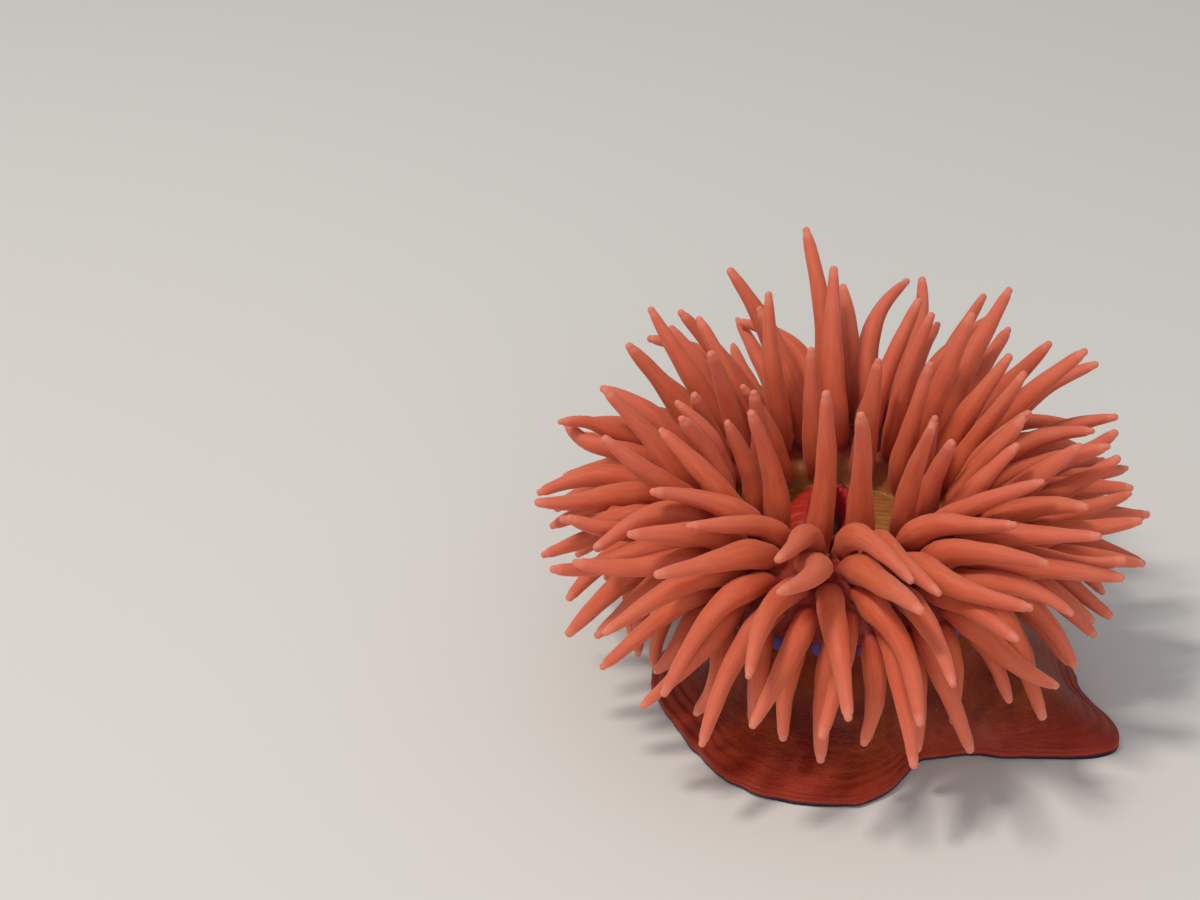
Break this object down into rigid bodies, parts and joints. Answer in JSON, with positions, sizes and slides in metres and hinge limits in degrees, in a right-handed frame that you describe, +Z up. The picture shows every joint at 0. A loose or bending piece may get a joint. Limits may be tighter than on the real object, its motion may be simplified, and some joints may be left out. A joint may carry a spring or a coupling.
{
  "type": "beadlet anemone",
  "caption": "Beadlet anemone at life size, wide open: tapering tentacles in a round crown about its mouth, on a low column and a spread, lobed foot.",
  "frame": {"origin": "on the sole, under the middle of the foot", "axes": "+Z up out of the foot towards the crown, -Y to the front, which the crown tips towards, +X to the right seen from the front"},
  "size_m": [0.0523, 0.055, 0.0326],
  "materials": {
    "foot": "wet, smooth",
    "column": "wet, smooth",
    "collar": "wet, smooth, with blue-violet beads",
    "disc": "soft, matte",
    "mouth": "soft, wet",
    "tentacle": "soft, matte, slightly translucent"
  },
  "bodies": {
    "root": {"pedal_disc": "foot", "column_lower": "column", "column_upper": "column", "collar": "collar", "oral_disc": "disc", "mouth": "mouth", "whorl_1_arc_1": "tentacle", "whorl_1_arc_2": "tentacle", "whorl_1_arc_3": "tentacle", "whorl_2_arc_1": "tentacle", "whorl_2_arc_2": "tentacle", "whorl_2_arc_3": "tentacle", "whorl_3_arc_1": "tentacle", "whorl_3_arc_2": "tentacle", "whorl_3_arc_3": "tentacle", "whorl_3_arc_4": "tentacle", "whorl_3_arc_5": "tentacle", "whorl_3_arc_6": "tentacle", "whorl_4_arc_1": "tentacle", "whorl_4_arc_2": "tentacle", "whorl_4_arc_3": "tentacle", "whorl_4_arc_4": "tentacle", "whorl_4_arc_5": "tentacle", "whorl_4_arc_6": "tentacle", "whorl_5_arc_1": "tentacle", "whorl_5_arc_2": "tentacle", "whorl_5_arc_3": "tentacle", "whorl_5_arc_4": "tentacle", "whorl_5_arc_5": "tentacle", "whorl_5_arc_6": "tentacle", "whorl_6_arc_1": "tentacle", "whorl_6_arc_2": "tentacle", "whorl_6_arc_3": "tentacle", "whorl_6_arc_4": "tentacle", "whorl_6_arc_5": "tentacle", "whorl_6_arc_6": "tentacle"}
  },
  "joints": []
}
